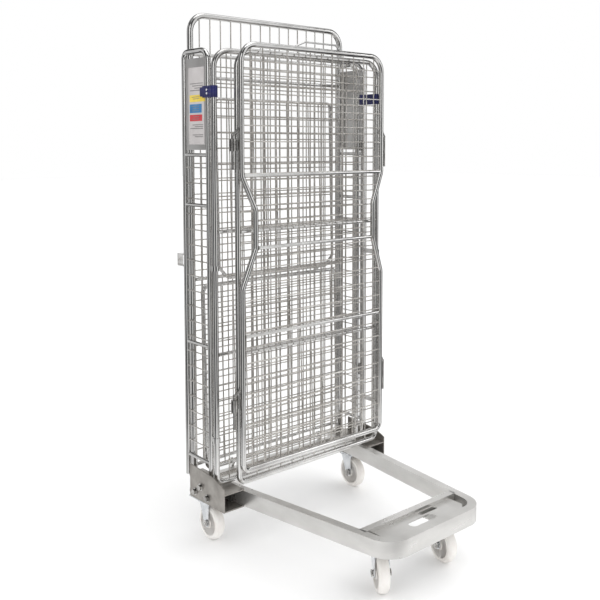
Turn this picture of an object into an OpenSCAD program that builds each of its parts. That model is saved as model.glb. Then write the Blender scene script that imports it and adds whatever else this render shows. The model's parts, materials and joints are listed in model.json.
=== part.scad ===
// Nestable roll cage container, stored with every panel folded to the rear of its base.
// Millimetres. +Z is up, +Y is towards the back panel, +X is to the right seen from the front.
// The origin is on the floor, in the middle of the whole footprint. Sizes and places below are counted from
// a working origin between the sides, just in front of the returns, and the last lines move every piece over.

/* [Overall] */
// Height of the back panel's top rail centre line
back_h = 1698; // [1500:10:1900]
// Distance of each side's leg centre line from the middle
side_x = 342; // [300:2:380]
// How far the back panel's legs stand in from the sides' legs
back_inset = 11; // [8:1:14]
// Height of the returns' top rail centre line
return_h = 1577; // [1450:2:1600]
// Height of both wings' top rail centre line
wing_h = 1573; // [1450:1:1600]
// Height of the gate's top rail centre line
gate_h = 1592; // [1450:1:1620]

/* [Tubes] */
// Outer diameter of the back panel's tube
back_tube_d = 20; // [18:0.5:22]
// Outer diameter of the wing, gate and return tube
tube_d = 18; // [16:0.5:19]
// Wall of every round tube
tube_wall = 1.5; // [1:0.1:2.5]
// Diameter of the solid cross rods
rod_d = 12; // [8:0.5:12]
// Diameter of the mesh wires
wire_d = 4; // [2.5:0.25:5]
// Pitch of the mesh wires
mesh_pitch = 50; // [40:1:60]
// Pitch of the upright wires in the back panel
back_pitch = 42; // [36:1:60]
// Centre line radius of the panels' top corners
corner_r = 55; // [30:1:70]
// Centre line radius of the wings' and the gate's bottom corners
low_corner_r = 22; // [18:1:40]

/* [Layers] */
// Depth of the back panel's centre line
back_y = 138; // [132:1:160]
// Depth of the returns' front leg
return_y = 24; // [18:1:28]
// Gap between the gate and the hinge rings of the wing that carries it
gate_gap = 1; // [0.5:0.5:5]
// Gap between the two folded wings
wing_gap = 20; // [4:1:24]
// Gap between a return's rear leg and the back panel's leg
return_back_gap = 2; // [1:0.5:4]

/* [Wings and gate] */
// Distance from a wing's hinge leg to its free leg
wing_w = 624; // [560:2:640]
// Height of the wings' bottom rail centre line above the base
wing_lift = 16; // [14:1:50]
// Distance of the gate's left leg from the free leg of the wing that carries it
gate_step = 0; // [0:0.5:8]
// Height of the gate's bottom rail centre line above the base
gate_lift = 58; // [50:1:90]
// How far the gate's left and right legs step inwards at mid height
kink_in = [54, 40];
// Heights where each leg leaves its line, is fully in, starts back out and is back on its line
kink_z = [830, 955, 1078, 1185];
// Heights of the gate's cross rods
gate_rod_z = [678, 956, 1187];
// Heights of the wings' cross rods
wing_rod_z = [620, 1010];

/* [Hinges] */
// Diameter of the drop pins that hang the gate
pin_d = 9; // [6:0.5:10]
// Outer diameter of the drop pin barrels
barrel_d = 22; // [16:0.5:23]
// Height of each barrel
barrel_h = 38; // [20:1:60]
// Heights of the middles of the two barrels
barrel_z = [462, 1281];
// Radial clearance of a pin or leg that turns in its hole
running_fit = 0.1; // [0.05:0.01:0.1]
// Wall of the hinge rings and clips round a wing's leg
ring_wall = 3; // [2.25:0.25:3.5]
// Height of each steel hinge ring
ring_h = 16; // [8:1:30]
// Rough heights of the steel hinge rings, each of which sits midway between two level wires
ring_z = [346, 896];
// Rough height of the plastic clips, which sit midway between two level wires
clip_z = 1448; // [1400:1:1480]
// Height of a plastic clip
clip_h = 36; // [20:1:50]
// How far a clip reaches back along the return from its front leg
clip_tail = 30; // [20:1:60]

/* [Base] */
// Height of the base rails
rail_h = 50; // [40:1:60]
// Width of the base rails
rail_w = 28; // [20:1:40]
// Wall of the base rails
rail_wall = 2.5; // [2:0.1:4]
// Distance of the base's rear corners inside the sides' legs
base_inset = 42; // [36:1:50]
// Half the outer width of the base at its front corners
base_half_front = 211; // [190:1:250]
// Distance of the base's front face ahead of the origin
base_front = 635; // [560:5:700]
// Centre line radius of the base's front corners
base_corner_r = 62; // [40:1:80]
// Distance of the cross bar's middle ahead of the origin
cross_bar_y = 515; // [480:1:530]
// Thickness of folded plates
plate_t = 4; // [3:0.5:6]

/* [Casters] */
// Wheel diameter
wheel_d = 112; // [90:1:125]
// Wheel width
wheel_w = 36; // [24:1:40]
// Clearance between a wheel and the crown of its fork
crown_room = 5.6; // [3:0.1:15]
// How far the wheel trails behind its kingpin
trail = 30; // [15:1:40]
// Side of the square top plate
caster_plate_w = 84; // [74:1:84]
// Distance of a top plate's bolts from its edges
bolt_inset = 16; // [14:1:18]
// Distance of the rear kingpins inside the sides' legs
rear_caster_inset = 19; // [18:0.5:20]
// Depth of the rear kingpins
rear_caster_y = 80; // [70:1:84]
// Distance of the front kingpins from the middle
front_caster_x = 132; // [128:1:146]
// Distance of the front kingpins ahead of the origin
front_caster_y = 515; // [510:1:554]
// Direction in which each wheel trails, counted from +X: front left, front right, rear left, rear right
caster_heading = [-124, -105, -92, -93];

/* [Deck and shelf] */
// Length of the folding deck from its pivot bar to its front edge
deck_len = 611; // [500:1:615]
// Distance of the deck's side bars inside the sides' legs
deck_inset = 42; // [34:1:80]
// Height of the deck's pivot bar above the base
deck_lift = 20; // [16:1:40]
// Depth of the deck's pivot bar
deck_y = 110; // [102:1:117]
// Diameter of the deck's frame bar
deck_bar_d = 14; // [10:0.5:16]
// Length of the shelf from its pivot bar to its front edge
shelf_len = 590; // [450:1:600]
// Half the width of the shelf
shelf_half = 255; // [220:1:300]
// Height of the shelf's pivot bar
shelf_z = 842; // [840:1:900]
// Depth of the shelf's pivot bar
shelf_y = 94; // [87:1:100]
// Diameter of the shelf's frame rod
shelf_rod_d = 10; // [8:0.5:12]
// Angle at which the folded deck and shelf lean back against the rear
lean = 1.5; // [0.5:0.1:2]

/* [Hidden] */
$fn = 40;

tube_r = tube_d / 2;
wire_r = wire_d / 2;
rod_r = rod_d / 2;
bite = 0.3;                                   // how far a welded end sinks into its tube
weld_w = 2;                                   // width of a weld ring at a bend
weld_proud = 0.2;                             // how far a weld ring stands out of its tube and into its bore
notch_gap = 0.3;                              // clearance round a leg that stands in a notch
wire_gap = 0.1;                               // upright and level wires lie this far apart
back_x = side_x - back_inset;
leg_pitch = back_tube_d / 2 + tube_r + return_back_gap;
return_rear_y = back_y + sqrt(leg_pitch * leg_pitch - back_inset * back_inset);
left_wing_y = return_y - tube_r - 12 - tube_r;
right_wing_y = left_wing_y - tube_d - wing_gap;
ring_r = tube_r + ring_wall;
gate_y = right_wing_y - ring_r - tube_r - gate_gap;
left_free_x = -side_x + wing_w;               // free leg of the left wing
right_free_x = side_x - wing_w;               // free leg of the right wing
gate_left_x = right_free_x + gate_step;
gate_right_x = side_x;
pin_out = 27;                                 // pins stand this far outside the gate's legs
knuckle_d = pin_d + 1;
pin_y = gate_y + 10;
pin_left_x = gate_left_x - pin_out;
pin_right_x = gate_right_x + pin_out;
housing_h = 8;
crown_t = 4;
swivel_gap = 0.4;
crown_z = wheel_d + crown_room;
caster_top = crown_z + crown_t + swivel_gap + housing_h + plate_t;
base_bottom = caster_top + plate_t;
base_top = base_bottom + rail_h;
base_half_rear = side_x - base_inset;
wing_bottom = base_top + wing_lift;
gate_bottom = base_top + gate_lift;
deck_half = side_x - deck_inset;
deck_z = base_top + deck_lift;
flange_top = base_top + plate_t - 1;
bracket_x = side_x + 22;                      // outer face of the rear brackets
bracket_back = return_rear_y + 4;
bracket_front = -72;
plate_back = 116;                             // rear edge of the brackets' upright plates
bolt_washer_t = 2;
bolt_head_t = 8;
hook_out = 30;                                // how far the nesting hook stands behind the return
bracket_inner = side_x - 58;                  // inner edge of the rear brackets' flanges
beam_front = 60;
beam_back = 112;
rear_caster_x = side_x - rear_caster_inset;
rail_slope = (base_half_rear - base_half_front) / base_front;
caster_at = [[-front_caster_x, -front_caster_y], [front_caster_x, -front_caster_y],
             [-rear_caster_x, rear_caster_y], [rear_caster_x, rear_caster_y]];
kingpin_d = 12;
bolt_d = 8.8;
axle_d = 10;
fork_t = 3.5;
fork_inner = wheel_w + 3;
steel = [0.78, 0.79, 0.8];
bright = [0.86, 0.87, 0.88];
clip_blue = [0.12, 0.14, 0.42];
nylon = [0.93, 0.92, 0.9];
first_wire_z = wing_bottom + mesh_pitch + 17; // lowest level wire of the wings
right_edge = max(pin_right_x + knuckle_d / 2, bracket_x + bolt_washer_t + bolt_head_t);
middle_x = (right_edge - bracket_x - bolt_washer_t - bolt_head_t) / 2;
middle_y = (return_rear_y + tube_r + hook_out - base_front - weld_proud / 2) / 2;

// Distance from a tube's axis at which a smaller round end just sinks into the tube
function seat(big_r, small_r) = sqrt(big_r * big_r - small_r * small_r) - bite;
function heading(v) = atan2(v[1], v[0]);
function turn(a, b, c) =
    let (t = heading(c - b) - heading(b - a)) t > 180 ? t - 360 : t < -180 ? t + 360 : t;
function setback(a, b, c, r) = r * tan(abs(turn(a, b, c)) / 2);
function unit(v) = v / norm(v);
function wrap(i, n) = (i + n) % n;
// Height midway between the two level wires of a wing that z lies between
function between_wires(z) = first_wire_z + (floor((z - first_wire_z) / mesh_pitch) + 0.5) * mesh_pitch;
function bend_at(bend, i) = is_list(bend) ? bend[i] : bend;
// Height at which an upright at distance dx from a panel's side line meets its rounded corner
function corner_drop(dx, r) = dx >= r ? 0 : r - sqrt(r * r - (r - dx) * (r - dx));

// Ring or disc that is swept into a tube or a bar
module round_profile(d, wall) {
    difference() {
        circle(d = d);
        if (wall > 0) circle(d = d - 2 * wall);
    }
}

// Profile of the weld ring round such a tube
module weld_profile(d, wall) {
    difference() {
        circle(d = d + 2 * weld_proud);
        if (wall > 0) circle(d = d - 2 * wall - 2 * weld_proud);
    }
}

module rail_profile(grow) {
    difference() {
        square([rail_w + 2 * grow, rail_h + 2 * grow], center = true);
        square([rail_w - 2 * rail_wall - 2 * grow, rail_h - 2 * rail_wall - 2 * grow], center = true);
    }
}

// Sweeps its first child, a profile, along a flat route with round bends of one radius or of one for each
// point. On a route with slanted legs
// the second child is the profile of a low weld ring, which covers a hairline gap at each end of a bend.
module run(route, bend, closed = false) {
    n = len(route);
    first = closed ? 0 : 1;
    last = closed ? n - 1 : n - 2;
    gap = $children > 1 ? 0.02 : 0;
    if (last >= first) for (i = [first : last]) {
        a = route[wrap(i - 1, n)];
        b = route[i];
        c = route[wrap(i + 1, n)];
        r = bend_at(bend, i);
        t = turn(a, b, c);
        s = setback(a, b, c, r);
        p = b + unit(a - b) * s;
        q = b + unit(c - b) * s;
        centre = b + unit(unit(a - b) + unit(c - b)) * sqrt(r * r + s * s);
        begin = t > 0 ? p : q;
        translate([centre[0], centre[1], 0])
            rotate([0, 0, heading(begin - centre)])
                rotate_extrude(angle = abs(t), $fn = 72) translate([r, 0]) children(0);
        if (gap > 0) for (e = [[p, a - b], [q, c - b]])
            translate([e[0][0], e[0][1], 0]) rotate([0, 0, heading(e[1])]) rotate([90, 0, 90])
                translate([0, 0, -weld_w / 2]) linear_extrude(weld_w) children(1);
    }
    for (i = [0 : closed ? n - 1 : n - 2]) {
        p = route[i];
        q = route[wrap(i + 1, n)];
        cut_p = closed || i > 0 ? setback(route[wrap(i - 1, n)], p, q, bend_at(bend, i)) + gap : 0;
        cut_q = closed || i < n - 2
            ? setback(p, q, route[wrap(i + 2, n)], bend_at(bend, wrap(i + 1, n))) + gap : 0;
        start = p + unit(q - p) * cut_p;
        translate([start[0], start[1], 0])
            rotate([0, 0, heading(q - p)])
                rotate([90, 0, 90])
                    linear_extrude(norm(q - p) - cut_p - cut_q) children(0);
    }
}

// Stands a flat drawing up so that its Y becomes Z, at depth y
module upright(y) { translate([0, y, 0]) rotate([90, 0, 0]) children(); }
// Stands a flat drawing up side-on, so that its X becomes depth, at x
module side_on(x) { translate([x, 0, 0]) rotate([90, 0, 90]) children(); }
module bar_x(x0, x1, y, z, d) { translate([x0, y, z]) rotate([0, 90, 0]) cylinder(d = d, h = x1 - x0); }
module bar_y(y0, y1, x, z, d) { translate([x, y1, z]) rotate([90, 0, 0]) cylinder(d = d, h = y1 - y0); }
module bar_z(z0, z1, x, y, d) { translate([x, y, z0]) cylinder(d = d, h = z1 - z0); }
module box(x0, x1, y0, y1, z0, z1) { translate([x0, y0, z0]) cube([x1 - x0, y1 - y0, z1 - z0]); }
// Mirrors its child to the other side of the middle when side is 1
module on_side(side) { if (side > 0) mirror([1, 0, 0]) children(); else children(); }

// ---- base ----
module base_frame() {
    half_back = base_half_rear + rail_slope * bracket_back - rail_w / 2;
    half_nose = base_half_front - rail_w / 2;
    nose_y = -base_front + rail_w / 2;
    color(steel) difference() {
        translate([0, 0, base_bottom + rail_h / 2])
            run([[-half_back, bracket_back], [-half_nose, nose_y],
                [half_nose, nose_y], [half_back, bracket_back]], base_corner_r) {
                rail_profile(0);
                rail_profile(weld_proud / 2);
            }
        for (p = [caster_at[2], caster_at[3]]) caster_bolt_holes(p);
    }
}

// Half the clear width between the rails at depth y
function rail_inner(y) = base_half_rear + rail_slope * y - rail_w / cos(atan(rail_slope));

module base_cross_bar() {
    half = rail_inner(-cross_bar_y + 12) + bite * 3;
    color(steel) difference() {
        box(-half, half, -cross_bar_y - 12, -cross_bar_y + 12, base_top - 24, base_top);
        box(-half - 1, half + 1, -cross_bar_y - 12 + plate_t, -cross_bar_y + 13,
            base_top - 25, base_top - plate_t);
    }
}

// Middle, distance from the front rail, half length and width of each slot in the toe plate
toe_slots = [[-5, 37, 40, 30], [55, 68, 32, 16]];
module base_toe_plate() {
    back = -cross_bar_y - 12;
    front = -base_front + rail_w;
    inner_r = base_corner_r - rail_w / 2;
    half = rail_inner(front) - 14;
    nose = rail_inner(front) - inner_r;
    color(bright) translate([0, 0, base_top - 10 - plate_t + 1]) difference() {
        linear_extrude(plate_t - 1) polygon([[-nose, front], [nose, front], [half, front + inner_r * 0.62],
            [half, back], [-half, back], [-half, front + inner_r * 0.62]]);
        for (t = toe_slots) translate([0, 0, -1]) hull() for (s = [-1, 1])
            translate([t[0] + s * t[2], front + t[1], 0]) cylinder(d = t[3], h = plate_t + 2);
    }
}

module corner_gusset(side) {
    front = -base_front + 20;
    back = -front_caster_y + caster_plate_w / 2 + 8;
    color(steel) on_side(side) difference() {
        translate([0, 0, base_bottom - plate_t]) linear_extrude(plate_t) polygon([
            [-base_half_front + 34, front], [-base_half_front + 14, front + 22],
            [-base_half_rear + rail_slope * base_front * (1 - 0.2) + 8, back],
            [-front_caster_x + caster_plate_w / 2 + 8, back],
            [-front_caster_x + caster_plate_w / 2 + 8, front]]);
        caster_bolt_holes(caster_at[0]);
    }
}
module left_corner_gusset() { corner_gusset(-1); }
module right_corner_gusset() { corner_gusset(1); }

module rear_beam() {
    half = rail_inner(beam_front) + bite;
    color(steel) difference() {
        box(-half, half, beam_front, beam_back, base_bottom, base_top);
        box(-half - 1, half + 1, beam_front + rail_wall, beam_back - rail_wall,
            base_bottom + rail_wall, base_top - rail_wall);
    }
}

// Depth of each bolt through a rear bracket and its height above the rails' underside
bolt_spots = [[86, 18], [54, 42], [17, 17]];
module bracket_bolt_holes(d) {
    for (p = bolt_spots) translate([-bracket_x - 1, p[0], base_bottom + p[1]]) rotate([0, 90, 0])
        cylinder(d = d, h = plate_t + 2);
}

// Flange of a rear bracket, whose rear outer corner is cut off
module bracket_flange(low, high) {
    translate([0, 0, low]) linear_extrude(high - low) polygon([[-bracket_x + plate_t, bracket_front],
        [-bracket_x + plate_t, plate_back], [-side_x - 5, return_rear_y - 11], [-side_x + 6, bracket_back],
        [-bracket_inner, bracket_back], [-bracket_inner, bracket_front]]);
}

module rear_bracket(side) {
    color(steel) on_side(side) difference() {
        union() {
            translate([-bracket_x, 0, 0]) rotate([90, 0, 90]) linear_extrude(plate_t) polygon([
                [bracket_front, caster_top], [plate_back, caster_top], [plate_back, base_top + 52],
                [50, base_top + 48], [-16, base_top + 42], [-54, base_top + 29],
                [bracket_front, base_top + 21]]);
            bracket_flange(base_top, flange_top);
            bracket_flange(caster_top, base_bottom);
        }
        bracket_bolt_holes(10);
        caster_bolt_holes(caster_at[2]);
    }
}
module left_rear_bracket() { rear_bracket(-1); }
module right_rear_bracket() { rear_bracket(1); }

module bracket_bolts() {
    color(bright) for (side = [-1, 1]) on_side(side) for (p = bolt_spots)
        translate([-bracket_x, p[0], base_bottom + p[1]]) rotate([0, -90, 0]) {
            cylinder(d = 24, h = bolt_washer_t);
            translate([0, 0, bolt_washer_t]) cylinder(d = 19, h = bolt_head_t, $fn = 6);
            translate([0, 0, -plate_t - 9]) cylinder(d = 9.8, h = plate_t + 9.5);
        }
}

// ---- casters ----
// Places its child at the four bolts of a caster; $inner is true for the two that pass through a rail
module at_caster_bolts(p) {
    reach = caster_plate_w / 2 - bolt_inset;
    for (sx = [-1, 1], sy = [-1, 1]) {
        $inner = p[1] > 0 && sx * p[0] < 0;
        translate([p[0] + sx * reach, p[1] + sy * reach, caster_top - plate_t]) children();
    }
}
module caster_bolt_holes(p) {
    at_caster_bolts(p) translate([0, 0, -1]) cylinder(d = bolt_d + 0.2, h = 2 * plate_t + rail_wall + 3);
}

module caster_plate(i) {
    p = caster_at[i];
    color(steel) difference() {
        union() {
            box(p[0] - caster_plate_w / 2, p[0] + caster_plate_w / 2, p[1] - caster_plate_w / 2,
                p[1] + caster_plate_w / 2, caster_top - plate_t, caster_top);
            bar_z(caster_top - plate_t - housing_h, caster_top - plate_t, p[0], p[1], 58);
        }
        bar_z(0, 400, p[0], p[1], kingpin_d);
        caster_bolt_holes(p);
    }
}
module caster_plate_front_left() { caster_plate(0); }
module caster_plate_front_right() { caster_plate(1); }
module caster_plate_rear_left() { caster_plate(2); }
module caster_plate_rear_right() { caster_plate(3); }

module caster_bolts() {
    color(bright) for (p = caster_at) at_caster_bolts(p) {
        seat_z = 2 * plate_t + ($inner ? rail_wall : 0);
        cylinder(d = bolt_d, h = seat_z + 8);
        translate([0, 0, -5]) cylinder(d = 14, h = 5, $fn = 6);
        translate([0, 0, seat_z]) cylinder(d = 14, h = 6, $fn = 6);
    }
}

module kingpins() {
    color(bright) for (p = caster_at) {
        bar_z(crown_z - swivel_gap - 5, crown_z - swivel_gap, p[0], p[1], 22);
        bar_z(crown_z - swivel_gap, caster_top - 0.5, p[0], p[1], kingpin_d);
    }
}

module caster_frame(i) {
    translate([caster_at[i][0], caster_at[i][1], 0]) rotate([0, 0, caster_heading[i]]) children();
}

// Fork, drawn trailing towards +X
module fork(i) {
    axle_z = wheel_d / 2;
    color(steel) caster_frame(i) difference() {
        union() {
            bar_z(crown_z, crown_z + crown_t, 0, 0, 56);
            box(-10, trail + 12, -fork_inner / 2 - fork_t, fork_inner / 2 + fork_t,
                crown_z, crown_z + crown_t);
            for (s = [-1, 1]) translate([0, s * (fork_inner + fork_t) / 2 + fork_t / 2, 0])
                rotate([90, 0, 0]) linear_extrude(fork_t) {
                    polygon([[-10, crown_z + crown_t], [trail + 12, crown_z + crown_t], [trail + 13, axle_z],
                             [trail - 13, axle_z]]);
                    translate([trail, axle_z]) circle(r = 13);
                }
        }
        bar_z(crown_z - 1, crown_z + crown_t + 1, 0, 0, kingpin_d + 2 * running_fit);
        bar_y(-60, 60, trail, axle_z, axle_d);
    }
}
module fork_front_left() { fork(0); }
module fork_front_right() { fork(1); }
module fork_rear_left() { fork(2); }
module fork_rear_right() { fork(3); }

module wheel(i) {
    r = wheel_d / 2;
    half = wheel_w / 2;
    bore_r = axle_d / 2 + running_fit;
    color(nylon) caster_frame(i) translate([trail, 0, r]) rotate([90, 0, 0])
        rotate_extrude($fn = 96) polygon([
            [bore_r, -half], [16, -half], [18, -half + 5], [r - 18, -half + 5], [r - 13, -half + 2],
            [r - 6, -half + 2],
            [r - 1.5, -half + 7], [r, -half + 12], [r, half - 12], [r - 1.5, half - 7], [r - 6, half - 2],
            [r - 13, half - 2], [r - 18, half - 5], [18, half - 5], [16, half], [bore_r, half]]);
}
module wheel_front_left() { wheel(0); }
module wheel_front_right() { wheel(1); }
module wheel_rear_left() { wheel(2); }
module wheel_rear_right() { wheel(3); }

module axle(i) {
    half = fork_inner / 2 + fork_t;
    color(bright) caster_frame(i) {
        bar_y(-half - 7, half + 7, trail, wheel_d / 2, axle_d);
        for (s = [-1, 1]) translate([trail, s * (half + 2.5) + 2.5, wheel_d / 2]) rotate([90, 0, 0])
            cylinder(d = 17, h = 5, $fn = 6);
    }
}
module axle_front_left() { axle(0); }
module axle_front_right() { axle(1); }
module axle_rear_left() { axle(2); }
module axle_rear_right() { axle(3); }

// ---- back panel ----
back_rod_z = [base_top + 34, shelf_z, back_h - 198];
hoop_rod_z = back_h - 126;
module back_frame() {
    reach = back_x - seat(back_tube_d / 2, rod_r);
    color(steel) {
        upright(back_y) run([[-back_x, flange_top], [-back_x, back_h], [back_x, back_h],
            [back_x, flange_top]], corner_r) round_profile(back_tube_d, tube_wall);
        for (z = concat(back_rod_z, [hoop_rod_z])) bar_x(-reach, reach, back_y, z, rod_d);
    }
}

module back_mesh() {
    reach = back_x - seat(back_tube_d / 2, wire_r);
    count = floor((back_x - back_pitch / 2) / back_pitch);
    color(bright) {
        for (i = [-count : count]) bar_z(back_rod_z[0], back_h - back_tube_d / 2 + bite
            - corner_drop(back_x - abs(i * back_pitch), corner_r), i * back_pitch,
            back_y + wire_r + wire_gap / 2, wire_d);
        for (z = [back_rod_z[0] + mesh_pitch : mesh_pitch : hoop_rod_z - mesh_pitch / 2])
            bar_x(-reach, reach, back_y - wire_r - wire_gap / 2, z, wire_d);
    }
}

// ---- returns ----
label_z = [return_h - 311, return_h - 22];
return_rod_z = [base_top + 72, 640, 1090, return_h - 327];
// The rails are notched to fit round the back panel's leg
module return_frame(side) {
    reach = seat(tube_r, rod_r);
    color(steel) on_side(side) difference() {
        union() {
            side_on(-side_x) run([[return_rear_y, flange_top], [return_rear_y, return_h], [return_y, return_h],
                [return_y, flange_top]], [0, 20, 38, 0]) round_profile(tube_d, tube_wall);
            for (z = return_rod_z) bar_y(return_y + reach, return_rear_y - reach, -side_x, z, rod_d);
        }
        bar_z(flange_top - 1, back_h, -back_x, back_y, back_tube_d + 2 * notch_gap);
    }
}
module left_return_frame() { return_frame(-1); }
module right_return_frame() { return_frame(1); }

module return_mesh(side) {
    reach = seat(tube_r, wire_r);
    step = (return_rear_y - return_y) / 3;
    color(bright) on_side(side) {
        for (i = [1, 2]) bar_z(return_rod_z[0], return_rod_z[3], -side_x + wire_r + wire_gap / 2,
            return_y + i * step, wire_d);
        for (z = [return_rod_z[0] + mesh_pitch : mesh_pitch : return_rod_z[3] - 20])
            bar_y(return_y + reach, return_rear_y - reach, -side_x - wire_r - wire_gap / 2, z, wire_d);
    }
}
module left_return_mesh() { return_mesh(-1); }
module right_return_mesh() { return_mesh(1); }

module label_plate(side) {
    color([0.7, 0.7, 0.71]) on_side(side)
        box(-side_x - 1, -side_x + 1, return_y + tube_r - bite, return_rear_y - tube_r + bite,
            label_z[0], label_z[1]);
}
module left_label_plate() { label_plate(-1); }
module right_label_plate() { label_plate(1); }

// Wires that lie across the rear beam from bracket to bracket
module rear_floor_grille() {
    half = bracket_inner - 0.5;
    color(bright) for (y = [beam_front + 3 : 7 : beam_front + 24])
        bar_x(-half, half, y, base_top + wire_r, wire_d);
}

// ---- hinges between returns and wings ----
module hinge_ring(side, y, z, h) {
    on_side(side) difference() {
        union() {
            bar_z(z - h / 2, z + h / 2, -side_x, y, 2 * ring_r);
            box(-side_x - 4, -side_x + 4, y, return_y, z - h / 2, z + h / 2);
        }
        bar_z(z - h, z + h, -side_x, y, tube_d + 2 * running_fit);
        bar_z(z - h, z + h, -side_x, return_y, tube_d);
    }
}
module left_hinge_rings() {
    color(steel) for (z = ring_z) hinge_ring(-1, left_wing_y, between_wires(z), ring_h);
}
module right_hinge_rings() {
    color(steel) for (z = ring_z) hinge_ring(1, right_wing_y, between_wires(z), ring_h);
}

module hinge_clip(side, y) {
    half = ring_r - 1;
    mid = between_wires(clip_z);
    low = mid - clip_h / 2;
    high = mid + clip_h / 2;
    color(clip_blue) on_side(side) difference() {
        union() {
            bar_z(low, high, -side_x, y, 2 * ring_r);
            box(-side_x - half, -side_x + half, y, return_y + 16, low, high);
            box(-side_x - half, -side_x - half + 5, return_y + 16, return_y + clip_tail, low + 4, high - 4);
        }
        bar_z(low - 9, high + 9, -side_x, y, tube_d + 2 * running_fit);
        bar_z(low - 9, high + 9, -side_x, return_y, tube_d);
        box(-side_x - 1.2, -side_x + 30, return_y + tube_r - 1, return_y + 60, low - 9, high + 9);
    }
}
module left_hinge_clip() { hinge_clip(-1, left_wing_y); }
module right_hinge_clip() { hinge_clip(1, right_wing_y); }

module nesting_hook() {
    y = return_rear_y + tube_r - 2;
    color(steel) difference() {
        box(-side_x - 10, -side_x + 10, y, y + 2 + hook_out, 886, 927);
        box(-side_x - 11, -side_x + 11, y - 1, y - 1 + hook_out, 889, 924);
    }
}

// ---- wings ----
// A wing between its hinge leg and its free leg, drawn with the hinge leg on the left
module wing_frame(y) {
    reach = seat(tube_r, rod_r);
    upright(y) run([[-side_x, wing_bottom], [-side_x, wing_h], [-side_x + wing_w, wing_h],
        [-side_x + wing_w, wing_bottom]], [low_corner_r, corner_r, corner_r, low_corner_r], closed = true)
        round_profile(tube_d, tube_wall);
    for (z = wing_rod_z) bar_x(-side_x + reach, -side_x + wing_w - reach, y, z, rod_d);
}

module wing_mesh(y) {
    reach = seat(tube_r, wire_r);
    top = wing_h - reach;
    bottom = wing_bottom + reach;
    for (x = [mesh_pitch : mesh_pitch : wing_w - mesh_pitch / 2]) {
        dx = min(x, wing_w - x);
        bar_z(bottom + corner_drop(dx, low_corner_r), top - corner_drop(dx, corner_r), -side_x + x,
            y + wire_r + wire_gap / 2, wire_d);
    }
    for (z = [first_wire_z : mesh_pitch : wing_h - corner_r + 6])
        bar_x(-side_x + reach, -side_x + wing_w - reach, y - wire_r - wire_gap / 2, z, wire_d);
}
module left_wing_frame() { color(steel) wing_frame(left_wing_y); }
module left_wing_mesh() { color(bright) wing_mesh(left_wing_y); }
module right_wing_frame() { color(steel) on_side(1) wing_frame(right_wing_y); }
module right_wing_mesh() { color(bright) on_side(1) wing_mesh(right_wing_y); }

// Barrel with a web back to the leg at leg_x, leg_y
module barrel(x, y, leg_x, leg_y, z) {
    away = [leg_x - x, leg_y - y];
    web = norm(away) - tube_r + 1.5;
    difference() {
        union() {
            bar_z(z - barrel_h / 2, z + barrel_h / 2, x, y, barrel_d);
            translate([x, y, z - barrel_h / 2 + 4]) rotate([0, 0, heading(away)])
                translate([0, -2.5, 0]) cube([web, 5, barrel_h - 8]);
        }
        bar_z(z - barrel_h, z + barrel_h, x, y, pin_d + 2 * running_fit);
        bar_z(z - barrel_h, z + barrel_h, leg_x, leg_y, tube_d);
    }
}
module right_wing_barrels() {
    color(bright) for (z = barrel_z) barrel(pin_left_x, pin_y, right_free_x, right_wing_y, z);
}
module left_wing_barrels() {
    color(bright) for (z = barrel_z) barrel(left_free_x + 22, left_wing_y + 2, left_free_x, left_wing_y, z);
}

// ---- gate ----
// How far a leg of the gate that steps in by deep stands in at height z
function kink(z, deep) = z < kink_z[0] || z > kink_z[3] ? 0
    : z < kink_z[1] ? deep * (z - kink_z[0]) / (kink_z[1] - kink_z[0])
    : z < kink_z[2] ? deep : deep * (kink_z[3] - z) / (kink_z[3] - kink_z[2]);
function leg_points(deep) = [[0, gate_bottom], [0, kink_z[0]], [deep, kink_z[1]], [deep, kink_z[2]],
    [0, kink_z[3]], [0, gate_h]];

module gate_frame() {
    reach = seat(tube_r, rod_r);
    left = leg_points(kink_in[0]);
    right = leg_points(kink_in[1]);
    soft = 40;
    bends = [low_corner_r, soft, soft, soft, soft, corner_r];
    color(steel) {
        upright(gate_y) run(concat([for (p = left) [gate_left_x + p[0], p[1]]],
            [for (i = [5 : -1 : 0]) [gate_right_x - right[i][0], right[i][1]]]),
            concat(bends, [for (i = [5 : -1 : 0]) bends[i]]), closed = true) {
            round_profile(tube_d, tube_wall);
            weld_profile(tube_d, tube_wall);
        }
        for (z = gate_rod_z) bar_x(gate_left_x + kink(z, kink_in[0]) + reach,
            gate_right_x - kink(z, kink_in[1]) - reach, gate_y, z, rod_d);
    }
}

module gate_mesh() {
    reach = seat(tube_r, wire_r);
    span = gate_right_x - gate_left_x;
    count = floor(span / mesh_pitch);
    edge = (span - (count - 1) * mesh_pitch) / 2;
    color(bright) {
        for (i = [0 : count - 1]) {
            dx = edge + i * mesh_pitch;
            side = min(dx, span - dx);
            deep = kink_in[dx < span / 2 ? 0 : 1];
            x = gate_left_x + dx;
            y = gate_y + wire_r + wire_gap / 2;
            bottom = gate_bottom + reach + corner_drop(side, low_corner_r);
            top = gate_h - reach - corner_drop(side, corner_r);
            if (side > deep + tube_r) bar_z(bottom, top, x, y, wire_d);
            else {
                share = (side - tube_r) / deep;
                bar_z(bottom, kink_z[0] + (kink_z[1] - kink_z[0]) * share, x, y, wire_d);
                bar_z(kink_z[3] - (kink_z[3] - kink_z[2]) * share, top, x, y, wire_d);
            }
        }
        for (z = [gate_bottom + 46 : mesh_pitch : gate_h - corner_r + 6])
            bar_x(gate_left_x + kink(z, kink_in[0]) + reach, gate_right_x - kink(z, kink_in[1]) - reach,
                gate_y - wire_r - wire_gap / 2, z, wire_d);
    }
}

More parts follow.
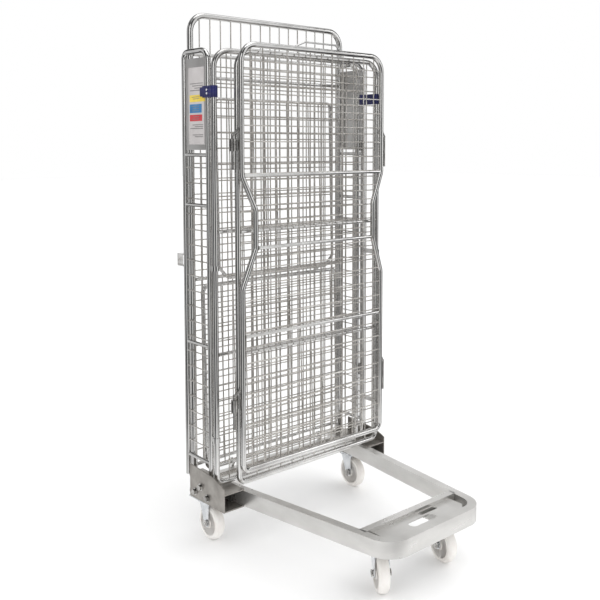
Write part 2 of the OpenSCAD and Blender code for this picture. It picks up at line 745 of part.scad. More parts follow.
// Bent pin welded to a gate leg, hanging down through a barrel; out is -1 on the left leg, 1 on the right
module drop_pin(leg_x, out, z_weld, z_bend, z_end) {
    dx = out * pin_out;
    dy = pin_y - gate_y;
    slope = [dx, dy, z_bend - z_weld];
    reach = norm(slope);
    bar_z(z_end, z_bend, leg_x + dx, pin_y, pin_d);
    translate([leg_x + dx, pin_y, z_bend]) sphere(d = knuckle_d);
    translate([leg_x, gate_y, z_weld]) rotate([0, acos(slope[2] / reach), atan2(dy, dx)])
        translate([0, 0, tube_r * 0.6]) cylinder(d = pin_d, h = reach - tube_r * 0.6);
}
module gate_drop_pins() {
    color(bright) for (side = [-1, 1]) {
        leg_x = side < 0 ? gate_left_x : gate_right_x;
        drop_pin(leg_x, side, barrel_z[1] + 58, barrel_z[1] + 30, barrel_z[1] - 76);
        drop_pin(leg_x, side, barrel_z[0] + 58, barrel_z[0] + 30, barrel_z[0] - 76);
    }
}

module gate_handle() {
    z = gate_h + seat(tube_r, 3);
    color(steel) upright(gate_y) run([[-60, z], [-20, z + 16], [118, z + 16], [136, z]], 6) {
        round_profile(6, 0);
        weld_profile(6, 0);
    }
}

// ---- folding deck and shelf ----
// Leans its child back about a pivot bar at depth y and height z
module leaning(y, z) { translate([0, y, z]) rotate([-lean, 0, 0]) children(); }

module deck_frame() {
    color(steel) leaning(deck_y, deck_z) upright(0)
        run([[-deck_half, 0], [-deck_half, deck_len], [deck_half, deck_len], [deck_half, 0]],
            24, closed = true) round_profile(deck_bar_d, tube_wall);
}
deck_wires = floor(2 * deck_half / mesh_pitch);
deck_edge = (2 * deck_half - (deck_wires - 1) * mesh_pitch) / 2;
module deck_mesh() {
    reach = seat(deck_bar_d / 2, wire_r);
    color(bright) leaning(deck_y, deck_z) {
        for (i = [0 : deck_wires - 1]) bar_z(reach, deck_len - reach, -deck_half + deck_edge + i * mesh_pitch,
            wire_r + wire_gap / 2, wire_d);
        for (z = [mesh_pitch : mesh_pitch : deck_len - 20])
            bar_x(-deck_half + reach, deck_half - reach, -wire_r - wire_gap / 2, z, wire_d);
    }
}

module shelf_frame() {
    chamfer = 36;
    reach = seat(shelf_rod_d / 2, 3);
    color(steel) leaning(shelf_y, shelf_z) {
        upright(0) run([[-shelf_half + chamfer, 0], [-shelf_half, chamfer], [-shelf_half, shelf_len],
            [shelf_half, shelf_len], [shelf_half, chamfer], [shelf_half - chamfer, 0]], 14, closed = true) {
            round_profile(shelf_rod_d, 0);
            weld_profile(shelf_rod_d, 0);
        }
    }
}
module shelf_mesh() {
    reach = seat(shelf_rod_d / 2, wire_r);
    color(bright) leaning(shelf_y, shelf_z) {
        for (i = [-4 : 4]) bar_z(reach, shelf_len - reach, i * mesh_pitch, wire_r + wire_gap / 2, wire_d);
        for (z = [mesh_pitch + 10 : 2 * mesh_pitch : shelf_len - 20])
            bar_x(-shelf_half + reach, shelf_half - reach, -wire_r - wire_gap / 2, z, wire_d);
    }
}

// Eyes midway between two wires of the deck, each with a foot down to the rear beam
module deck_lugs() {
    place = deck_half - deck_edge - 1.5 * mesh_pitch;
    color(steel) for (x = [-place, place]) difference() {
        union() {
            bar_x(x - 5, x + 5, deck_y, deck_z, deck_bar_d + 12);
            box(x - 5, x + 5, deck_y - 8, deck_y + 1, base_top, deck_z);
        }
        bar_x(x - 6, x + 6, deck_y, deck_z, deck_bar_d + 2 * running_fit);
    }
}
// Eyes midway between two wires of the shelf, each with a foot back to the back panel's rod
module shelf_lugs() {
    place = 3.5 * mesh_pitch;
    color(steel) for (x = [-place, place]) difference() {
        union() {
            bar_x(x - 4, x + 4, shelf_y, shelf_z, shelf_rod_d + 10);
            box(x - 4, x + 4, shelf_y, back_y - seat(rod_r, 4), shelf_z - 4, shelf_z + 4);
        }
        bar_x(x - 6, x + 6, shelf_y, shelf_z, shelf_rod_d + 2 * running_fit);
    }
}

// Moves a piece so that the middle of the footprint is the origin
module placed() { translate([-middle_x, -middle_y, 0]) children(); }

placed() base_frame();
placed() base_cross_bar();
placed() base_toe_plate();
placed() left_corner_gusset();
placed() right_corner_gusset();
placed() rear_beam();
placed() left_rear_bracket();
placed() right_rear_bracket();
placed() bracket_bolts();
placed() back_frame();
placed() back_mesh();
placed() left_return_frame();
placed() left_return_mesh();
placed() left_label_plate();
placed() right_return_frame();
placed() right_return_mesh();
placed() right_label_plate();
placed() rear_floor_grille();
placed() left_hinge_clip();
placed() right_hinge_clip();
placed() left_hinge_rings();
placed() right_hinge_rings();
placed() nesting_hook();
placed() deck_lugs();
placed() shelf_lugs();
placed() caster_bolts();
placed() kingpins();
placed() caster_plate_front_left();
placed() caster_plate_front_right();
placed() caster_plate_rear_left();
placed() caster_plate_rear_right();
placed() left_wing_frame();
placed() left_wing_mesh();
placed() left_wing_barrels();
placed() right_wing_frame();
placed() right_wing_mesh();
placed() right_wing_barrels();
placed() gate_frame();
placed() gate_mesh();
placed() gate_drop_pins();
placed() gate_handle();
placed() deck_frame();
placed() deck_mesh();
placed() shelf_frame();
placed() shelf_mesh();
placed() fork_front_left();
placed() fork_front_right();
placed() fork_rear_left();
placed() fork_rear_right();
placed() wheel_front_left();
placed() wheel_front_right();
placed() wheel_rear_left();
placed() wheel_rear_right();
placed() axle_front_left();
placed() axle_front_right();
placed() axle_rear_left();
placed() axle_rear_right();
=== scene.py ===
import json
import math

import bmesh
import bpy
from mathutils import Matrix, Vector


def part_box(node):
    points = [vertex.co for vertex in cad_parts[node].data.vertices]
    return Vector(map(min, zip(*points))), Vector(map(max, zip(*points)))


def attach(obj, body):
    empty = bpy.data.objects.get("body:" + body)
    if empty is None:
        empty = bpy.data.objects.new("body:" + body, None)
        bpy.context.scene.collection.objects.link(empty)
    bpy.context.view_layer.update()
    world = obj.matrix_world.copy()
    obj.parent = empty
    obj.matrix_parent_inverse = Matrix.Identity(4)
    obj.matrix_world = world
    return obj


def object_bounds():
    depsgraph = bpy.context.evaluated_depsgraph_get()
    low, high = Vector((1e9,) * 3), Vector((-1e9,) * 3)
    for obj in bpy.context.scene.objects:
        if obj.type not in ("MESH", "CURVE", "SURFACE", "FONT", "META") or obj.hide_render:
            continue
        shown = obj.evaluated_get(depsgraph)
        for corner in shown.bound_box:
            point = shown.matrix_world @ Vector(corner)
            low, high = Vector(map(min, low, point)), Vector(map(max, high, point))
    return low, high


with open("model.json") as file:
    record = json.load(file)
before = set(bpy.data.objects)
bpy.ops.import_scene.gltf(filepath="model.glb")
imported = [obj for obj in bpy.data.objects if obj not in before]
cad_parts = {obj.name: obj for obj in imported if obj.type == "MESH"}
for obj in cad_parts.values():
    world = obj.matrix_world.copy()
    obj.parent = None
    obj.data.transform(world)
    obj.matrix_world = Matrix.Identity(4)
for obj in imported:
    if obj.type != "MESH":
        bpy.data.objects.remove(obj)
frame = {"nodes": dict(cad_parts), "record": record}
cadLow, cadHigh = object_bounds()
nodes = frame["nodes"]
slotOf = {row["node"]: row["material_slot"] for row in frame["record"]["subparts"]}
print("frame loaded:", len(nodes), "nodes")

mm = 0.001


# shader helpers
def newMaterial(name):
    mat = bpy.data.materials.new(name)
    mat.use_nodes = True
    tree = mat.node_tree
    tree.nodes.clear()
    out = tree.nodes.new("ShaderNodeOutputMaterial")
    shader = tree.nodes.new("ShaderNodeBsdfPrincipled")
    tree.links.new(shader.outputs["BSDF"], out.inputs["Surface"])
    return mat, tree, shader


def noiseNode(tree, scale, detail=4, stretch=(1, 1, 1), roughness=0.55):
    place = tree.nodes.new("ShaderNodeTexCoord")
    shape = tree.nodes.new("ShaderNodeMapping")
    shape.inputs["Scale"].default_value = stretch
    noise = tree.nodes.new("ShaderNodeTexNoise")
    noise.inputs["Scale"].default_value = scale
    noise.inputs["Detail"].default_value = detail
    noise.inputs["Roughness"].default_value = roughness
    tree.links.new(place.outputs["Object"], shape.inputs["Vector"])
    tree.links.new(shape.outputs["Vector"], noise.inputs["Vector"])
    return noise.outputs["Fac"]


def rampNode(tree, source, stops):
    ramp = tree.nodes.new("ShaderNodeValToRGB")
    cells = ramp.color_ramp.elements
    while len(cells) < len(stops):
        cells.new(0.5)
    for cell, (at, colour) in zip(cells, stops):
        cell.position = at
        cell.color = (*colour, 1) if len(colour) == 3 else colour
    tree.links.new(source, ramp.inputs["Fac"])
    return ramp.outputs["Color"]


def rangeNode(tree, source, low, high, fromLow=0.3, fromHigh=0.7):
    span = tree.nodes.new("ShaderNodeMapRange")
    span.inputs["From Min"].default_value = fromLow
    span.inputs["From Max"].default_value = fromHigh
    span.inputs["To Min"].default_value = low
    span.inputs["To Max"].default_value = high
    tree.links.new(source, span.inputs["Value"])
    return span.outputs["Result"]


def bumpNode(tree, source, strength, depth):
    bump = tree.nodes.new("ShaderNodeBump")
    bump.inputs["Strength"].default_value = strength
    bump.inputs["Distance"].default_value = depth
    tree.links.new(source, bump.inputs["Height"])
    return bump.outputs["Normal"]


# finishes
def platedSteel(name, look):
    mat, tree, shader = newMaterial(name)
    cloud = noiseNode(tree, look["cloudScale"], 5, look["stretch"])
    fine = noiseNode(tree, look["fineScale"], 3)
    tree.links.new(rampNode(tree, cloud, [(0.3, look["dark"]), (0.52, look["mid"]), (0.72, look["light"])]),
                   shader.inputs["Base Color"])
    tree.links.new(rangeNode(tree, cloud, look["gloss"][1], look["gloss"][0]), shader.inputs["Roughness"])
    tree.links.new(bumpNode(tree, fine, look["grain"], look["grainDepth"]), shader.inputs["Normal"])
    shader.inputs["Metallic"].default_value = look.get("metal", 1.0)
    return mat


def mouldedPlastic(name, look):
    mat, tree, shader = newMaterial(name)
    cloud = noiseNode(tree, look["cloudScale"], 4)
    fine = noiseNode(tree, look["fineScale"], 2)
    tree.links.new(rampNode(tree, cloud, [(0.3, look["dark"]), (0.7, look["light"])]),
                   shader.inputs["Base Color"])
    tree.links.new(rangeNode(tree, cloud, look["gloss"][1], look["gloss"][0]), shader.inputs["Roughness"])
    tree.links.new(bumpNode(tree, fine, look["grain"], 0.2 * mm), shader.inputs["Normal"])
    return mat


finishes = {
    "tube": platedSteel("zincTube", dict(
        dark=(0.62, 0.61, 0.60), mid=(0.78, 0.775, 0.765), light=(0.90, 0.895, 0.885),
        cloudScale=9, fineScale=900, stretch=(1, 1, 0.35),
        gloss=(0.09, 0.17), grain=0.06, grainDepth=0.05 * mm)),
    "wire": platedSteel("zincWire", dict(
        dark=(0.42, 0.395, 0.365), mid=(0.68, 0.655, 0.62), light=(0.88, 0.86, 0.825),
        cloudScale=13, fineScale=1200, stretch=(1, 1, 1), metal=0.84,
        gloss=(0.16, 0.3), grain=0.1, grainDepth=0.05 * mm)),
    "galvanised": platedSteel("zincRail", dict(
        dark=(0.66, 0.65, 0.63), mid=(0.715, 0.705, 0.685), light=(0.77, 0.76, 0.74),
        cloudScale=9, fineScale=500, stretch=(1, 1, 2.4), metal=0.86,
        gloss=(0.26, 0.36), grain=0.12, grainDepth=0.1 * mm)),
    "sheet": platedSteel("zincSheet", dict(
        dark=(0.70, 0.69, 0.68), mid=(0.78, 0.77, 0.76), light=(0.84, 0.83, 0.82),
        cloudScale=11, fineScale=700,
        stretch=(1, 1, 0.6), gloss=(0.42, 0.55), grain=0.1, grainDepth=0.1 * mm)),
    "caster_steel": platedSteel("casterSteel", dict(
        dark=(0.58, 0.60, 0.62), mid=(0.74, 0.76, 0.78), light=(0.85, 0.86, 0.87),
        cloudScale=24, fineScale=900,
        stretch=(1, 1, 1), gloss=(0.16, 0.28), grain=0.1, grainDepth=0.1 * mm)),
    "fastener": platedSteel("zincHardware", dict(
        dark=(0.30, 0.29, 0.28), mid=(0.48, 0.47, 0.455), light=(0.70, 0.69, 0.67),
        cloudScale=40, fineScale=1500, stretch=(1, 1, 1),
        gloss=(0.14, 0.28), grain=0.1, grainDepth=0.05 * mm)),
    "clip_plastic": mouldedPlastic("bluePlastic", dict(
        dark=(0.010, 0.011, 0.065), light=(0.018, 0.022, 0.12), cloudScale=30, fineScale=1400,
        gloss=(0.24, 0.38), grain=0.15)),
    "nylon": mouldedPlastic("castNylon", dict(
        dark=(0.84, 0.80, 0.76), light=(0.94, 0.92, 0.89), cloudScale=26, fineScale=600,
        gloss=(0.36, 0.55), grain=0.2)),
}
# painted shade: the rear brackets get a darker, brown-grey copy of the zinc steel that stands in for the
# shade inside them
shadedBracketSteel = platedSteel("zincBracketPaintedShade", dict(
    dark=(0.27, 0.25, 0.23), mid=(0.36, 0.34, 0.315), light=(0.46, 0.44, 0.41), cloudScale=18, fineScale=500,
    stretch=(1, 1, 1), metal=0.7, gloss=(0.28, 0.42), grain=0.15, grainDepth=0.1 * mm))
for name, part in nodes.items():
    part.data.materials.clear()
    # the rear brackets take the darker copy with painted shade instead of their recorded finish
    part.data.materials.append(shadedBracketSteel if name.endswith("rear_bracket") else finishes[slotOf[name]])
print("finishes made:", len(finishes))

# rounded edges of rolled and pressed steel
edges = dict(width=dict(base_frame=2.0, rear_beam=1.5, base_cross_bar=1.2, base_toe_plate=0.8,
                        left_corner_gusset=0.8, right_corner_gusset=0.8, left_rear_bracket=0.9,
                        right_rear_bracket=0.9,
                        left_hinge_clip=1.6, right_hinge_clip=1.6, nesting_hook=0.8),
             steps=2, sharpest=35)
for name, width in edges["width"].items():
    soft = nodes[name].modifiers.new("softEdge", "BEVEL")
    soft.width = width * mm
    soft.segments = edges["steps"]
    soft.limit_method = "ANGLE"
    soft.angle_limit = math.radians(edges["sharpest"])
    soft.use_clamp_overlap = True
print("edges rounded:", len(edges["width"]))


# mesh helpers
def addBlock(bm, low, high, soft=0.0):
    made = bmesh.ops.create_cube(bm, size=1)["verts"]
    low, high = Vector(low), Vector(high)
    for v in made:
        v.co = Vector((low[k] + (v.co[k] + 0.5) * (high[k] - low[k]) for k in range(3)))
    if soft:
        rim = {e for v in made for e in v.link_edges}
        bmesh.ops.bevel(bm, geom=list(rim), offset=soft, segments=2, profile=0.6, affect="EDGES")


def addTurned(bm, profile, centre, axis, steps=36, wobble=0.0, seed=0):
    # profile is a list of (radius, height) along the axis
    turn = Vector((0, 0, 1)).rotation_difference(Vector(axis)).to_matrix()
    rings = []
    for radius, height in profile:
        ring = []
        for k in range(steps):
            a = 2 * math.pi * k / steps
            r = radius * (1 + wobble * math.sin(5 * a + seed) * math.cos(3 * a + 2 * seed))
            spot = Vector((r * math.cos(a), r * math.sin(a), height))
            ring.append(bm.verts.new(Vector(centre) + turn @ spot))
        rings.append(ring)
    for lower, upper in zip(rings, rings[1:]):
        for k in range(steps):
            n = (k + 1) % steps
            bm.faces.new((lower[k], lower[n], upper[n], upper[k]))
    for ring in (rings[0], rings[-1]):
        bm.faces.new(ring)


def addPiece(name, body, finish, bm, smoothAngle=35):
    bmesh.ops.recalc_face_normals(bm, faces=bm.faces)
    mesh = bpy.data.meshes.new(name)
    bm.to_mesh(mesh)
    bm.free()
    mesh.polygons.foreach_set("use_smooth", [True] * len(mesh.polygons))
    mesh.set_sharp_from_angle(angle=math.radians(smoothAngle))
    mesh.materials.append(finish)
    piece = bpy.data.objects.new(name, mesh)
    bpy.context.scene.collection.objects.link(piece)
    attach(piece, body)
    return piece


# label on the left plate: plain colour panels and grey rules, printed on a thin sticker
label = dict(thick=0.35, gap=0.15, side=(0.10, 0.86), rise=(0.06, 0.90), soft=0.1,
             panels=[("Yellow", (0.525, 0.60), (0.06, 0.80)), ("Blue", (0.405, 0.50), (0.22, 0.80)),
                     ("Red", (0.315, 0.385), (0.20, 0.80))],
             rules=[0.72, 0.695, 0.67, 0.645, 0.27, 0.25, 0.23, 0.16, 0.14],
             rule=dict(start=0.16, end=0.78, step=0.11, height=0.0085),
             lines=[0.575, 0.555, 0.475, 0.45, 0.425, 0.36, 0.335],
             line=dict(start=0.34, end=0.70, step=0.07, height=0.006))
inks = {
    "Paper": mouldedPlastic("labelPaper", dict(dark=(0.50, 0.475, 0.47), light=(0.565, 0.54, 0.535),
                                               cloudScale=22,
                                               fineScale=1800, gloss=(0.35, 0.5), grain=0.08)),
    "Yellow": mouldedPlastic("labelYellow", dict(dark=(0.70, 0.52, 0.05), light=(0.82, 0.64, 0.10),
                                                 cloudScale=40,
                                                 fineScale=1800, gloss=(0.35, 0.5), grain=0.08)),
    "Blue": mouldedPlastic("labelBlue", dict(dark=(0.03, 0.16, 0.36), light=(0.06, 0.24, 0.48), cloudScale=40,
                                             fineScale=1800, gloss=(0.35, 0.5), grain=0.08)),
    "Red": mouldedPlastic("labelRed", dict(dark=(0.50, 0.035, 0.05), light=(0.64, 0.07, 0.08), cloudScale=40,
                                           fineScale=1800, gloss=(0.35, 0.5), grain=0.08)),
    "Ink": mouldedPlastic("labelInk", dict(dark=(0.16, 0.15, 0.15), light=(0.26, 0.25, 0.25), cloudScale=60,
                                           fineScale=1800, gloss=(0.35, 0.5), grain=0.08)),
}
plateLow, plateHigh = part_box("left_label_plate")


def onPlate(low, high, layer):
    # low and high are (share across from the front edge, share up); layer counts out from the plate
    width, height = plateHigh.y - plateLow.y, plateHigh.z - plateLow.z
    near = plateLow.x - (label["gap"] + layer * label["thick"]) * mm
    return ((near - label["thick"] * mm, plateLow.y + low[0] * width, plateLow.z + low[1] * height),
            (near, plateLow.y + high[0] * width, plateLow.z + high[1] * height))


bm = bmesh.new()
addBlock(bm, *onPlate(*zip(label["side"], label["rise"]), 0), label["soft"] * mm)
addPiece("labelSheet", "cage", inks["Paper"], bm)
for name, (low, high), (near, far) in label["panels"]:
    bm = bmesh.new()
    addBlock(bm, *onPlate((near, low), (far, high), 1), label["soft"] * mm)
    addPiece("label" + name, "cage", inks[name], bm)
bm = bmesh.new()
for rows, look, cycle, layer in ((label["rules"], label["rule"], 3, 1),
                                 (label["lines"], label["line"], 2, 2)):
    for k, up in enumerate(rows):
        end = look["end"] - look["step"] * (k % cycle)
        addBlock(bm, *onPlate((look["start"], up), (end, up + look["height"]), layer))
addPiece("labelRules", "cage", inks["Ink"], bm)
print("label made")

# hinge clips: ribs and pale screw heads
clip = dict(rib=1.2, ribs=(0.2, 0.5, 0.8), ribDeep=(0.32, 0.60), ribHalf=1, ribSoft=0.3,
            screw=3.4, screws=(0.34, 0.66), screwDeep=0.46,
            head=[(1, 0), (1, 0.7), (0.8, 1.3), (0.35, 1.3), (0.3, 0.7)])  # share of the radius, height
screwHead = [(clip["screw"] * share * mm, up * mm) for share, up in clip["head"]]
screwPale = mouldedPlastic("palePlastic", dict(dark=(0.62, 0.62, 0.66), light=(0.80, 0.80, 0.84),
                                               cloudScale=60,
                                               fineScale=1400, gloss=(0.3, 0.45), grain=0.1))
for side in ("left", "right"):
    low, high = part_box(side + "_hinge_clip")
    outward = -1 if side == "left" else 1
    face = low.x if side == "left" else high.x
    rise, deep = high.z - low.z, high.y - low.y
    bm = bmesh.new()
    for share in clip["ribs"]:
        z = low.z + rise * share
        proud = face + outward * clip["rib"] * mm
        addBlock(bm, (min(face, proud), low.y + deep * clip["ribDeep"][0], z - clip["ribHalf"] * mm),
                 (max(face, proud), low.y + deep * clip["ribDeep"][1], z + clip["ribHalf"] * mm),
                 clip["ribSoft"] * mm)
    addPiece(side + "ClipRibs", "cage", finishes["clip_plastic"], bm)
    bm = bmesh.new()
    for share in clip["screws"]:
        addTurned(bm, screwHead, (face, low.y + deep * clip["screwDeep"], low.z + rise * share),
                  (outward, 0, 0), 20)
    addPiece(side + "ClipScrews", "cage", screwPale, bm)
print("clips dressed")

# casters: bearing rims, washers and moulded rings on the wheels
caster = dict(rim=28.6, rimTube=1.5, rimDrop=1.6, washer=11.0, washerThick=0.9,
              washerShape=[(0.5, 0), (1, 0), (1, 0.7), (0.93, 1), (0.5, 1)],  # shares of radius and thickness
              rings=[(31.0, 4.2), (42.0, 1.8)], ringTube=0.8)  # each ring's radius, and how far it is sunk
joints = {row["name"]: row for row in frame["record"]["behaviour"]["joints"]}
washer = [(caster["washer"] * across * mm, caster["washerThick"] * up * mm)
          for across, up in caster["washerShape"]]


def hoopProfile(radius, tube, steps):
    turns = [2 * math.pi * k / steps for k in range(steps + 1)]
    return [(radius * mm + tube * mm * math.cos(a), tube * mm * math.sin(a)) for a in turns]


for place in ("front_left", "front_right", "rear_left", "rear_right"):
    turnJoint, spinJoint = joints["swivel_turn_" + place], joints["wheel_spin_" + place]
    pivot, hub = Vector(turnJoint["pos_m"]), Vector(spinJoint["pos_m"])
    axis = Vector(spinJoint["axis"]).normalized()
    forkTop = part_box("fork_" + place)[1].z
    bm = bmesh.new()
    addTurned(bm, hoopProfile(caster["rim"], caster["rimTube"], 10),
              (pivot.x, pivot.y, forkTop - caster["rimDrop"] * mm), (0, 0, 1), 56)
    addPiece("bearingRim_" + place, "swivel_" + place, finishes["caster_steel"], bm, 60)
    spread = max(abs((Vector(v.co) - hub).dot(axis)) for v in nodes["fork_" + place].data.vertices)
    wide = max(abs((Vector(v.co) - hub).dot(axis)) for v in nodes["wheel_" + place].data.vertices)
    bm = bmesh.new()
    for way in (-1, 1):
        addTurned(bm, washer, hub + axis * way * spread, axis * way, 32)
    addPiece("axleWashers_" + place, "swivel_" + place, finishes["fastener"], bm)
    bm = bmesh.new()
    for way in (-1, 1):
        for radius, sunk in caster["rings"]:
            addTurned(bm, hoopProfile(radius, caster["ringTube"], 8),
                      hub + axis * way * (wide - sunk * mm), axis * way, 64)
    addPiece("wheelRings_" + place, "roller_" + place, finishes["nylon"], bm, 60)
print("casters dressed")

# weld beads where rods meet tubes, shown as (body, tube radius, rods as (height, inset left, inset right))
welds = dict(rod=6.0, bead=1.5, steps=28, wobble=0.09, seed=3,
             frames=dict(left_wing_frame=("left_wing", 9, [(620, 0, 0), (1010, 0, 0)]),
                         right_wing_frame=("right_wing", 9, [(620, 0, 0), (1010, 0, 0)]),
                         gate_frame=("gate", 9, [(678, 0, 0), (956, 54, 40)]),
                         back_frame=("cage", 10, [(842, 0, 0), (1500, 0, 0), (1572, 0, 0)])))
beadSteel = platedSteel("weldBead", dict(
    dark=(0.20, 0.18, 0.16), mid=(0.38, 0.36, 0.33), light=(0.60, 0.58, 0.55), cloudScale=160, fineScale=1500,
    stretch=(1, 1, 1), gloss=(0.25, 0.5), grain=0.5, grainDepth=0.3 * mm))


def beadProfile(rod, bead):
    return [((rod - 0.5) * mm, -1.4 * mm), ((rod + bead) * mm, -0.8 * mm),
            ((rod + bead * 0.6) * mm, 0.9 * mm),
            ((rod - 0.4) * mm, 2.4 * mm)]


for name, (body, tube, rods) in welds["frames"].items():
    low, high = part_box(name)
    depth = low.y + tube * mm
    bm = bmesh.new()
    for k, (height, left, right) in enumerate(rods):
        ends = ((low.x + (2 * tube + left) * mm, 1), (high.x - (2 * tube + right) * mm, -1))
        for x, way in ends:
            addTurned(bm, beadProfile(welds["rod"], welds["bead"]), (x, depth, height * mm), (way, 0, 0),
                      welds["steps"], welds["wobble"], welds["seed"] * k + way)
    addPiece("beads_" + name, body, beadSteel, bm, 80)
print("weld beads made:", len(welds["frames"]))

# studio
studio = dict(
    floorSize=60.0, roomLight=0.9, floorGlow=0.06, nearFloor=(0.45, 1.5),
    panels=[(0.0, 0.04), (0.04, 0.04), (0.055, 0.85), (0.10, 0.85), (0.115, 0.34), (0.165, 0.34),
            (0.185, 0.03),
            (0.26, 0.03), (0.285, 0.85), (0.385, 0.85), (0.40, 0.02), (0.53, 0.02), (0.56, 0.95),
            (0.69, 0.95),
            (0.705, 0.02), (0.81, 0.02), (0.83, 0.68), (0.91, 0.68), (0.93, 0.04)],
    heights=[(0.0, 1.0), (0.5, 1.0), (0.6, 0.4), (0.72, 0.35), (0.82, 1.0)], softLight=1.0,
    cameraAt=(-1.8316, -1.4804, 1.2726), yaw=-41.119, pitch=4.301, roll=-0.067, focal=828.06, frame=600,
    shiftY=0.15, sun=((0.25, -0.2, 1.0), 0.9, 60),  # from where, strength, spread in degrees
    lamps=dict(keyLight=((-2.6, -2.4, 2.6), (0, -0.1, 0.7), (0.6, 2.4), 9),  # at, aim, size, watts
               fillLight=((2.6, -1.6, 2.0), (0, -0.1, 0.7), (0.5, 2.0), 6)))


def makeFloor():
    grid = bpy.data.meshes.new("floor")
    half = studio["floorSize"] / 2
    grid.from_pydata([(-half, -half, 0), (half, -half, 0), (half, half, 0), (-half, half, 0)],
                     [], [(0, 1, 2, 3)])
    floor = bpy.data.objects.new("floor", grid)
    bpy.context.scene.collection.objects.link(floor)
    mat, tree, shader = newMaterial("paleFloor")
    tree.links.new(rampNode(tree, noiseNode(tree, 0.8),
                            [(0.3, (0.88, 0.88, 0.88)), (0.7, (0.91, 0.91, 0.91))]),
                   shader.inputs["Base Color"])
    shader.inputs["Roughness"].default_value = 0.6
    shader.inputs["Emission Color"].default_value = (1, 1, 1, 1)
    shader.inputs["Emission Strength"].default_value = studio["floorGlow"]
    # painted reflection: beyond the white floor close by, the floor glows with the studio's panel pattern for
    # glossy rays only, so metal sees the studio's panels there
    out = next(node for node in tree.nodes if node.type == "OUTPUT_MATERIAL")
    far = tree.nodes.new("ShaderNodeEmission")
    place = tree.nodes.new("ShaderNodeTexCoord")
    wave = tree.nodes.new("ShaderNodeTexGradient")
    wave.gradient_type = "RADIAL"
    tree.links.new(place.outputs["Object"], wave.inputs["Vector"])
    tree.links.new(rampNode(tree, wave.outputs["Fac"],
                            [(at, (level,) * 3) for at, level in studio["panels"]]),
                   far.inputs["Color"])
    far.inputs["Strength"].default_value = studio["roomLight"]
    reach = tree.nodes.new("ShaderNodeVectorMath")
    reach.operation = "LENGTH"
    tree.links.new(place.outputs["Object"], reach.inputs[0])
    edge = tree.nodes.new("ShaderNodeMapRange")
    edge.inputs["From Min"].default_value, edge.inputs["From Max"].default_value = studio["nearFloor"]
    tree.links.new(reach.outputs["Value"], edge.inputs["Value"])
    path = tree.nodes.new("ShaderNodeLightPath")
    both = tree.nodes.new("ShaderNodeMath")
    both.operation = "MULTIPLY"
    tree.links.new(path.outputs["Is Glossy Ray"], both.inputs[0])
    tree.links.new(edge.outputs["Result"], both.inputs[1])
    mix = tree.nodes.new("ShaderNodeMixShader")
    tree.links.new(both.outputs["Value"], mix.inputs["Fac"])
    tree.links.new(shader.outputs["BSDF"], mix.inputs[1])
    tree.links.new(far.outputs["Emission"], mix.inputs[2])
    tree.links.new(mix.outputs["Shader"], out.inputs["Surface"])
    grid.materials.append(mat)


def makeCamera():
    cam = bpy.data.cameras.new("camera")
    cam.sensor_width = 36
    cam.lens = studio["focal"] / studio["frame"] * cam.sensor_width
    cam.shift_y = -studio["shiftY"]
    cam.clip_end = 60
    rig = bpy.data.objects.new("camera", cam)
    bpy.context.scene.collection.objects.link(rig)
    yaw, pitch, roll = (math.radians(studio[k]) for k in ("yaw", "pitch", "roll"))
    ahead = Vector((-math.sin(yaw) * math.cos(pitch), math.cos(yaw) * math.cos(pitch), -math.sin(pitch)))
    side = Vector((math.cos(yaw), math.sin(yaw), 0))
    up = side.cross(ahead)
    right = side * math.cos(roll) + up * math.sin(roll)
    top = up * math.cos(roll) - side * math.sin(roll)
    turn = Matrix((right, top, -ahead)).transposed().to_4x4()
    place = Vector(studio["cameraAt"]) + Vector((0, cadLow.y, 0))  # counted from the front of the base
    rig.matrix_world = Matrix.Translation(place) @ turn
    bpy.context.scene.camera = rig


def makeLight(name, at, aim, size, watts):
    lamp = bpy.data.lights.new(name, "AREA")
    lamp.shape = "RECTANGLE"
    lamp.size, lamp.size_y = size
    lamp.energy = watts
    rig = bpy.data.objects.new(name, lamp)
    rig.location = at
    rig.rotation_mode = "QUATERNION"
    rig.rotation_quaternion = (Vector(aim) - Vector(at)).to_track_quat("-Z", "Y")
    bpy.context.scene.collection.objects.link(rig)


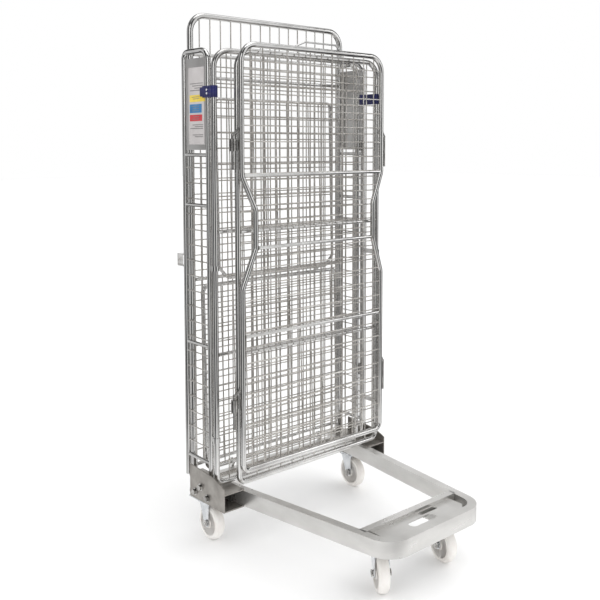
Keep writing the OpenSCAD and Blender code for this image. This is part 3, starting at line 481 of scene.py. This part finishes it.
def makeWorld():
    world = bpy.data.worlds.new("studio")
    bpy.context.scene.world = world
    world.use_nodes = True
    tree = world.node_tree
    tree.nodes.clear()
    out = tree.nodes.new("ShaderNodeOutputWorld")
    mix = tree.nodes.new("ShaderNodeMixShader")
    seen = tree.nodes.new("ShaderNodeBackground")
    lit = tree.nodes.new("ShaderNodeBackground")
    path = tree.nodes.new("ShaderNodeLightPath")
    seen.inputs["Color"].default_value = (1, 1, 1, 1)
    seen.inputs["Strength"].default_value = 1.0
    place = tree.nodes.new("ShaderNodeTexCoord")
    wave = tree.nodes.new("ShaderNodeTexGradient")
    wave.gradient_type = "RADIAL"
    tree.links.new(place.outputs["Generated"], wave.inputs["Vector"])
    around = rampNode(tree, wave.outputs["Fac"], [(at, (level,) * 3) for at, level in studio["panels"]])
    axes = tree.nodes.new("ShaderNodeSeparateXYZ")
    tree.links.new(place.outputs["Generated"], axes.inputs["Vector"])
    rise = rampNode(tree, axes.outputs["Z"], [(at, (level,) * 3) for at, level in studio["heights"]])
    both = tree.nodes.new("ShaderNodeMix")
    both.data_type = "RGBA"
    both.blend_type = "MULTIPLY"
    both.inputs["Factor"].default_value = 1
    tree.links.new(around, both.inputs[6])
    tree.links.new(rise, both.inputs[7])
    tree.links.new(both.outputs[2], lit.inputs["Color"])
    lit.inputs["Strength"].default_value = studio["roomLight"]
    even = tree.nodes.new("ShaderNodeBackground")
    even.inputs["Color"].default_value = (1, 1, 1, 1)
    even.inputs["Strength"].default_value = studio["softLight"]
    spread = tree.nodes.new("ShaderNodeMixShader")
    tree.links.new(path.outputs["Is Diffuse Ray"], spread.inputs["Fac"])
    tree.links.new(lit.outputs["Background"], spread.inputs[1])
    tree.links.new(even.outputs["Background"], spread.inputs[2])
    tree.links.new(path.outputs["Is Camera Ray"], mix.inputs["Fac"])
    tree.links.new(spread.outputs["Shader"], mix.inputs[1])
    tree.links.new(seen.outputs["Background"], mix.inputs[2])
    tree.links.new(mix.outputs["Shader"], out.inputs["Surface"])


def makeSun(name, at, strength, spread):
    lamp = bpy.data.lights.new(name, "SUN")
    lamp.energy = strength
    lamp.angle = math.radians(spread)
    rig = bpy.data.objects.new(name, lamp)
    rig.rotation_mode = "QUATERNION"
    rig.rotation_quaternion = (-Vector(at)).to_track_quat("-Z", "Y")
    bpy.context.scene.collection.objects.link(rig)


makeFloor()
makeCamera()
makeWorld()
makeSun("overheadLight", *studio["sun"])
for name, settings in studio["lamps"].items():
    makeLight(name, *settings)
bpy.context.scene.view_settings.view_transform = "Standard"
print("studio set")
